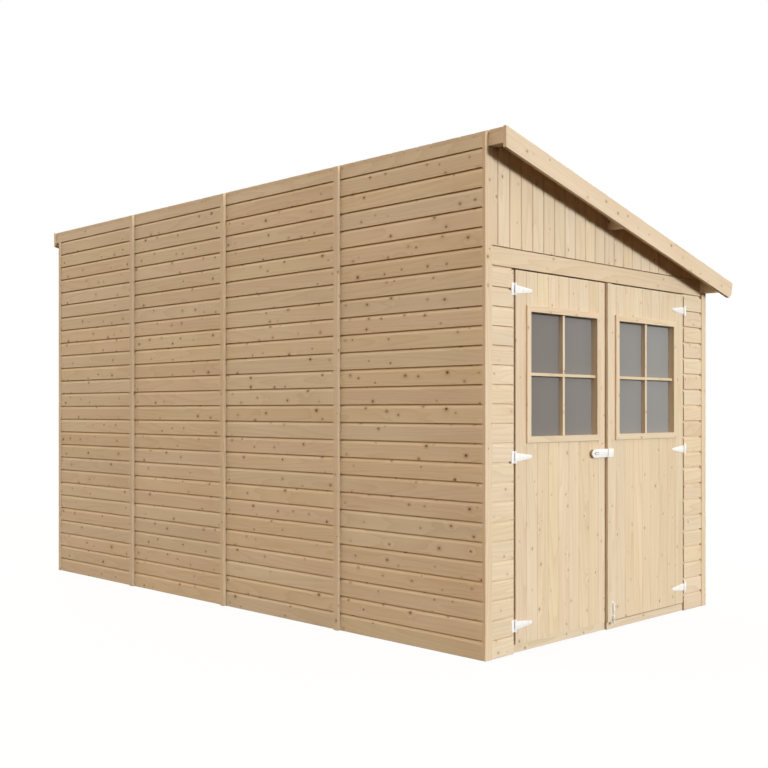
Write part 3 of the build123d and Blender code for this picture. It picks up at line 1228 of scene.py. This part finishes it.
@dataclass
class Decks:
    """The roof's boards, laid down the slope, and the floor's boards, laid along the shed."""

    wood: Softwood
    slope: RoofSlope
    pitch: float = 0.090
    gap: float = 0.0016
    chamfer: float = 0.0032

    def build(self) -> None:
        """Lays the roof and the floor."""
        self._lay("roof_deck", self._roof_board(), 0, Grain.DOWN_SLOPE)
        self._lay("floor_deck", self._floor_board(), 1, None)

    def _width(self, node: str, axis: int) -> float:
        """The width that lets whole boards fill a deck."""
        low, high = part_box(node)
        return (high[axis] - low[axis]) / round((high[axis] - low[axis]) / self.pitch)

    def _roof_board(self) -> Piece:
        """Models the board at the roof's back edge, from the high edge down to the eaves.

        Returns:
            The board.
        """
        low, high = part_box("roof_deck")
        width = self._width("roof_deck", 0)
        board = Bench.slab(
            "roof_deck_boards",
            (low.x + self.gap / 2, low.y, self.slope.underside),
            (low.x + width - self.gap / 2, high.y, high.z),
        )
        drop = (low.y - high.y) * self.slope.slope
        Bench.shift_faces(board, lambda middle, normal: normal.y > ALIGNED, UP * drop)
        return board

    def _floor_board(self) -> Piece:
        """Models the floor board along the high wall.

        Returns:
            The board.
        """
        low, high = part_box("floor_deck")
        start = (low.x, low.y + self.gap / 2, low.z)
        end = (high.x, low.y + self._width("floor_deck", 1) - self.gap / 2, high.z)
        return Bench.slab("floor_deck_boards", start, end)

    def _lay(self, node: str, board: Piece, axis: int, grain: Grain | None) -> None:
        """Chamfers a board's long edges and lays it side by side over the whole deck.

        Args:
            node: The deck's node.
            board: Its first board.
            axis: The axis that the boards lie side by side on.
            grain: The boards' grain, or None to follow their length.
        """
        low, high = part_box(node)
        Bench.bevel_edges(
            board, lambda middle, way: abs(way[1 - axis]) > ALIGNED, self.chamfer, CHAMFERED
        )
        step = [0.0, 0.0, 0.0]
        step[axis] = self._width(node, axis)
        Bench.row(board, round((high[axis] - low[axis]) / step[axis]), step)
        self.wood.dress(board, grain)
        hang(board, Body.SHED, Slot.DECKING, node)


@dataclass
class JambStrips:
    """Strips that line the ends of the gable's boards and narrow the gaps beside the leaves."""

    wood: Softwood
    clearance: float = 0.005
    setback: float = 0.007
    ease: float = 0.0015

    def build(self) -> None:
        """Makes the strip of each jamb."""
        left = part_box("left_leaf")[0].y - self.clearance
        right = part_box("right_leaf")[1].y + self.clearance
        self._strip("left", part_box("front_wall_left")[1].y, left)
        self._strip("right", right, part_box("front_wall_right")[0].y)

    def _strip(self, side: str, start: float, end: float) -> None:
        """Makes one strip, as high as its leaf.

        Args:
            side: The side that the leaf is on.
            start: Where the strip starts across the gable.
            end: Where it ends.
        """
        low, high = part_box(f"{side}_leaf")
        front = high.x - self.setback
        piece = Bench.slab(f"{side}_jamb_strip", (low.x, start, low.z), (front, end, high.z))
        Bench.ease(piece, self.ease)
        self.wood.dress(piece)
        hang(piece, Body.SHED, Slot.CLADDING)


@dataclass
class DoorLeaf:
    """One leaf: standing boards round a glazed window."""

    model: Model
    wood: Softwood
    glazing: WindowSheet
    side: str
    body: Body
    first_joint: float
    upright: UprightBoard = UprightBoard(pitch=0.0865, chamfer=0.0026, gap=0.0008)
    liner: float = 0.015
    saw_reach: float = 1.0
    trim_ease: float = 0.0015
    bar_front: float = -0.002
    bar_depth: float = 0.0248
    upright_bar: float = 0.017
    level_bar: float = 0.015
    cross_shift: float = 0.003

    def build(self) -> None:
        """Builds the boards, the window's joinery and its glazing."""
        self._boards()
        self._joinery()
        self._bars()
        self.glazing.dress(self.model.node(f"{self.side}_window_glass"))

    def _hole(self) -> tuple[Vector, Vector]:
        """The clear opening, from the glass: its lowest and highest corner."""
        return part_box(f"{self.side}_window_glass")

    def _boards(self) -> None:
        """Stands the boards and saws the window out of them."""
        node = f"{self.side}_leaf"
        piece = self.upright.rank(f"{node}_boards", *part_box(node), self.first_joint)
        start, end = self._hole()
        room = Vector((self.saw_reach, self.liner, self.liner))
        Bench.carve(piece, Bench.slab("window_cutter", start - room, end + room))
        self.wood.dress(piece, Grain.UPRIGHT)
        hang(piece, self.body, Slot.CLADDING, node)

    def _joinery(self) -> None:
        """Makes the mitred trim on the face and the liner behind it."""
        node = f"{self.side}_window_frame"
        outer_low, outer_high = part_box(node)
        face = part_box(f"{self.side}_leaf")[1].x
        start, end = self._hole()
        parts = self._ring("trim", (face, outer_high.x), (outer_low, outer_high), (start, end))
        room = Vector((0.0, self.liner, self.liner))
        parts += self._ring("liner", (outer_low.x, face), (start - room, end + room), (start, end))
        piece = Bench.join(f"{node}_joinery", *parts)
        Bench.bevel_edges(
            piece, lambda middle, way: max(abs(way.y), abs(way.z)) > ALIGNED,
            self.trim_ease, ROUNDED,
        )
        self.wood.dress(piece)
        hang(piece, self.body, Slot.CLADDING, node)

    def _ring(
        self, name: str, x: Range, outer: tuple[Vector, Vector], inner: tuple[Vector, Vector]
    ) -> list[Piece]:
        """Makes four mitred boards round an opening.

        Args:
            name: What they are called.
            x: Where they start and end, from back to front.
            outer: The lowest and highest corner outside.
            inner: The lowest and highest corner of the opening.

        Returns:
            The four boards.
        """
        low, high = outer
        start, end = inner
        boards = [
            Bench.slab(f"{name}_left", (x[0], low.y, low.z), (x[1], start.y, high.z)),
            Bench.slab(f"{name}_right", (x[0], end.y, low.z), (x[1], high.y, high.z)),
            Bench.slab(f"{name}_bottom", (x[0], low.y, low.z), (x[1], high.y, start.z)),
            Bench.slab(f"{name}_top", (x[0], low.y, end.z), (x[1], high.y, high.z)),
        ]
        # Each mitre has its corner and the way that its waste lies on the uprights
        mitres = [
            (Vector((0.0, low.y, low.z)), Vector((0.0, 1.0, -1.0))),
            (Vector((0.0, low.y, high.z)), Vector((0.0, 1.0, 1.0))),
            (Vector((0.0, high.y, low.z)), Vector((0.0, -1.0, -1.0))),
            (Vector((0.0, high.y, high.z)), Vector((0.0, -1.0, 1.0))),
        ]
        signs = (1, 1, -1, -1)
        corners = ((0, 1), (2, 3), (0, 2), (1, 3))
        for board, sign, pair in zip(boards, signs, corners):
            for corner in pair:
                place, waste = mitres[corner]
                Bench.cut(board, place, waste * sign)
        return boards

    def _bars(self) -> None:
        """Makes the glazing cross in front of the sheet."""
        start, end = self._hole()
        middle = (start + end) / 2 + Vector((0.0, self.cross_shift, 0.0))
        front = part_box(f"{self.side}_leaf")[1].x + self.bar_front
        back = front - self.bar_depth
        left, right = middle.y - self.upright_bar / 2, middle.y + self.upright_bar / 2
        low, high = middle.z - self.level_bar / 2, middle.z + self.level_bar / 2
        piece = Bench.join(
            f"{self.side}_glazing_bars",
            Bench.slab("level_bar", (back, start.y, low), (front, end.y, high)),
            Bench.slab("low_bar", (back, left, start.z), (front, right, low)),
            Bench.slab("top_bar", (back, left, high), (front, right, end.z)),
        )
        Bench.ease(piece, self.trim_ease)
        self.wood.dress(piece)
        hang(piece, self.body, Slot.CLADDING)


@dataclass(frozen=True)
class Screw:
    """A domed screw head with a recess."""

    radius: float = 0.0042
    height: float = 0.0014
    dome_share: float = 0.6
    recess: float = 0.0018
    sides: int = 12

    def model(self, place: Sequence[float]) -> Piece:
        """Models one head that faces +X.

        Args:
            place: The middle of its seat.

        Returns:
            The head.
        """
        Bench.clear()
        bpy.ops.mesh.primitive_cylinder_add(vertices=self.sides, radius=self.radius, depth=self.height)
        head = bpy.context.object
        head.name = "screw"
        head.rotation_euler = (0.0, QUARTER_TURN, 0.0)
        head.location = Vector(place) + Vector((self.height / 2, 0.0, 0.0))
        bpy.ops.object.transform_apply(location=True, rotation=True, scale=True)
        top = place[0] + self.height
        with Bench.editing(head):
            Bench.pick_faces(head, lambda middle, normal: normal.x > ALIGNED)
            dome = self.height * self.dome_share
            bpy.ops.mesh.bevel(offset=dome, segments=ROUNDED, affect="EDGES")
        with Bench.editing(head):
            Bench.pick_faces(head, lambda middle, normal: normal.x > ALIGNED and middle.x > top - MERGE)
            bpy.ops.mesh.inset(thickness=self.recess / 2)
            Bench.draw_out((-self.height / 2, 0.0, 0.0))
        return head


@dataclass
class Fittings:
    """White painted hinges, hasp and drop bolt, with their screws."""

    model: Model
    paint: PaintedSteel
    screw: Screw = Screw()
    ease: float = 0.0007
    smooth_turn: float = math.radians(35)
    plate_thickness: float = 0.003
    strap_length: float = 0.123
    strap_shares: tuple[float, ...] = (0.16, 0.48, 0.80)
    plate_rise: float = 0.019
    plate_inset: float = 0.0095

    def build(self) -> None:
        """Makes every fitting."""
        left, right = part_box("left_leaf"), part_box("right_leaf")
        seat = left[1].x + self.plate_thickness
        heights = self._hinge_heights()
        reaches = [self.strap_length * share for share in self.strap_shares]
        rises = (-self.plate_rise, self.plate_rise)
        low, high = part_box("hinge_plates")
        plates = (low.y + self.plate_inset, high.y - self.plate_inset)
        left_seats = [(seat, left[0].y + reach, z) for z in heights for reach in reaches]
        right_seats = [(seat, right[1].y - reach, z) for z in heights for reach in reaches]
        plate_seats = [(seat, y, z + rise) for z in heights for y in plates for rise in rises]
        low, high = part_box("hasp_plate")
        hasp_heights = (low.z + self.plate_inset, high.z - self.plate_inset)
        hasp_seats = [(high.x, high.y - self.plate_inset, z) for z in hasp_heights]
        self._fitting("left_hinge_straps", Body.LEFT_DOOR, left_seats)
        self._fitting("right_hinge_straps", Body.RIGHT_DOOR, right_seats)
        self._fitting("hinge_plates", Body.SHED, plate_seats)
        self._fitting("hasp_strap", Body.LEFT_DOOR, [])
        self._fitting("hasp_plate", Body.RIGHT_DOOR, hasp_seats)
        self._fitting("bolt_guides", Body.RIGHT_DOOR, [])
        self._fitting("drop_bolt", Body.BOLT, [])

    def _hinge_heights(self) -> list[float]:
        """Finds the three hinges from the straps' corners.

        Returns:
            Their heights, from the lowest up.
        """
        heights = np.sort(self.model.corners("left_hinge_straps")[:, 2])
        groups = np.split(heights, np.where(np.diff(heights) > self.strap_length)[0] + 1)
        return [float(group.min() + group.max()) / 2 for group in groups]

    def _fitting(self, node: str, body: Body, seats: list[tuple[float, float, float]]) -> None:
        """Eases one fitting, puts its screws in and paints it.

        Args:
            node: The fitting's node.
            body: The body that carries it.
            seats: The seats of its screws.
        """
        name = f"{node}_steel"
        piece = Bench.solid(name, self.model.node(node))
        Bench.ease(piece, self.ease)
        heads = [self.screw.model(seat) for seat in seats]
        if heads:
            Bench.join(name, piece, *heads)
        Bench.take(piece)
        bpy.ops.object.shade_smooth_by_angle(angle=self.smooth_turn)
        self.paint.dress(piece)
        hang(piece, body, Slot.METAL, node)


@dataclass(frozen=True)
class Sun:
    """A soft light far away, with its angles in degrees."""

    name: str
    bearing: float
    height: float
    strength: float
    colour: tuple[float, float, float]
    width: float = 12.0

    def build(self) -> None:
        """Hangs the light at its bearing from +X towards +Y and its height above the floor."""
        light = bpy.data.lights.new(self.name, "SUN")
        light.energy = self.strength
        light.color = self.colour
        light.angle = math.radians(self.width)
        lamp = bpy.data.objects.new(self.name, light)
        bpy.context.scene.collection.objects.link(lamp)
        lamp.rotation_euler = (0.0, QUARTER_TURN - math.radians(self.height), math.radians(self.bearing))


@dataclass
class Studio:
    """A white floor, a pale sky, a low key light on the door gable, and the camera."""

    key: Sun = Sun(
        "key_light", bearing=0.0, height=8.0, strength=2.80, colour=(0.93, 1.02, 1.08)
    )
    fill: Sun = Sun(
        "rear_fill", bearing=150.0, height=25.0, strength=0.5, colour=(1.0, 0.95, 0.9)
    )
    camera_place: tuple[float, float, float] = (5.05424, -4.81830, 1.14909)
    camera_turn: float = 44.969
    lens: float = 49.922
    sensor: float = 36.0
    lift: float = 0.03380
    slide: float = -0.00065
    floor_size: float = 120.0
    floor_drop: float = 0.001
    floor_tone: Colour = (0.08, 0.08, 0.08, 1.0)
    floor_glow: float = 0.93
    front_share: float = 0.25
    rear_share: float = 1.75
    horizon: Colour = (1.64, 1.47, 1.24, 1.0)
    zenith: Colour = (0.66, 0.60, 0.53, 1.0)
    ground: Colour = (0.012, 0.009, 0.005, 1.0)

    def build(self) -> None:
        """Sets the stage, the lights and the camera."""
        self._floor()
        self._sky()
        self.key.build()
        self.fill.build()
        self._camera()

    def _floor(self) -> None:
        """Lays a pale floor that takes a faint shadow and throws no light back."""
        Bench.clear()
        bpy.ops.mesh.primitive_plane_add(size=self.floor_size, location=(0.0, 0.0, -self.floor_drop))
        floor = bpy.context.object
        floor.name = "floor"
        floor.data.materials.append(material("pale_floor", lambda sheet: {
            "Base Color": self.floor_tone,
            "Roughness": 1.0,
            "Specular IOR Level": 0.0,
            "Emission Color": WHITE,
            "Emission Strength": self.floor_glow,
        }))
        floor.visible_diffuse = False
        floor.visible_glossy = False
        floor.visible_transmission = False
        floor.visible_shadow = False
        floor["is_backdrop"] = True

    def _sky(self) -> None:
        """Makes a sky that is brighter low down and at the back, dark below, and white to the eye."""
        world = bpy.data.worlds.new("sky")
        bpy.context.scene.world = world
        bpy.context.scene.view_settings.view_transform = "Standard"
        sheet = NodeSheet(world)
        way = sheet.add("ShaderNodeTexCoord").outputs["Generated"]
        parts = sheet.add("ShaderNodeSeparateXYZ", {0: way}).outputs
        ramp = sheet.add("ShaderNodeValToRGB", {0: parts["Z"]})
        for stop, colour in zip(ramp.color_ramp.elements, (self.horizon, self.zenith)):
            stop.color = colour
        above = sheet.math("GREATER_THAN", parts["Z"], 0.0)
        light = sheet.add("ShaderNodeBackground", {
            "Color": sheet.mix(above, self.ground, ramp.outputs[0]),
            "Strength": sheet.spread(parts["X"], -1.0, 1.0, self.rear_share, self.front_share),
        })
        white = sheet.add("ShaderNodeBackground", {"Color": WHITE})
        seen = sheet.add("ShaderNodeLightPath").outputs["Is Camera Ray"]
        choice = sheet.add("ShaderNodeMixShader", {0: seen, 1: light.outputs[0], 2: white.outputs[0]})
        sheet.add("ShaderNodeOutputWorld", {"Surface": choice.outputs[0]})

    def _camera(self) -> None:
        """Puts the level camera where the photograph was taken from."""
        camera = bpy.data.objects.new("camera", bpy.data.cameras.new("camera"))
        bpy.context.scene.collection.objects.link(camera)
        camera.location = self.camera_place
        camera.rotation_euler = (QUARTER_TURN, 0.0, math.radians(self.camera_turn))
        camera.data.lens = self.lens
        camera.data.sensor_width = self.sensor
        camera.data.shift_x = self.slide
        camera.data.shift_y = self.lift
        bpy.context.scene.camera = camera


def main() -> None:
    """Builds the shed and its studio, sub-assembly by sub-assembly."""
    logging.basicConfig(level=logging.INFO, format="%(name)s: %(message)s")
    model = Model()
    slope = RoofSlope.read(model)
    pine = Softwood("pine", slope=slope.angle)
    # The long walls' pine has painted shade inside its joints
    knotty_pine = Softwood(
        "knotty_pine", knot_radius=(0.0036, 0.0090), knot_strength=(0.28, 1.0), groove_shade=0.6
    )
    clear_pine = Softwood("clear_pine", knot_strength=(0.14, 0.66))
    LongWalls(knotty_pine).build()
    Gables(model, clear_pine, slope).build()
    timbers = PlainTimbers(model, pine)
    timbers.build(Body.SHED, Slot.CLADDING, Grain.ACROSS, "front_lintel", "back_rail")
    timbers.build(Body.SHED, Slot.CLADDING, None, "cover_strips", "door_sill", "bolt_strip")
    timbers.build(
        Body.SHED, Slot.FRAMING, None, "purlins", "floor_bearers", "long_wall_plates",
        "gable_plates", "high_wall_studs", "low_wall_studs", "gable_studs",
    )
    timbers.build(Body.SHED, Slot.FRAMING, Grain.DOWN_SLOPE, "gable_rafters")
    timbers.build(Body.LEFT_DOOR, Slot.FRAMING, None, "left_ledges")
    timbers.build(Body.RIGHT_DOOR, Slot.FRAMING, None, "right_ledges")
    timbers.build(Body.RIGHT_DOOR, Slot.CLADDING, None, "meeting_strip")
    CornerTrims(timbers).build()
    Bargeboards(timbers).build()
    Decks(pine, slope).build()
    JambStrips(clear_pine).build()
    glazing = WindowSheet()
    DoorLeaf(model, clear_pine, glazing, "left", Body.LEFT_DOOR, first_joint=0.0835).build()
    DoorLeaf(model, clear_pine, glazing, "right", Body.RIGHT_DOOR, first_joint=0.0160).build()
    Fittings(model, PaintedSteel()).build()
    Studio().build()


if __name__ == "__main__":
    main()
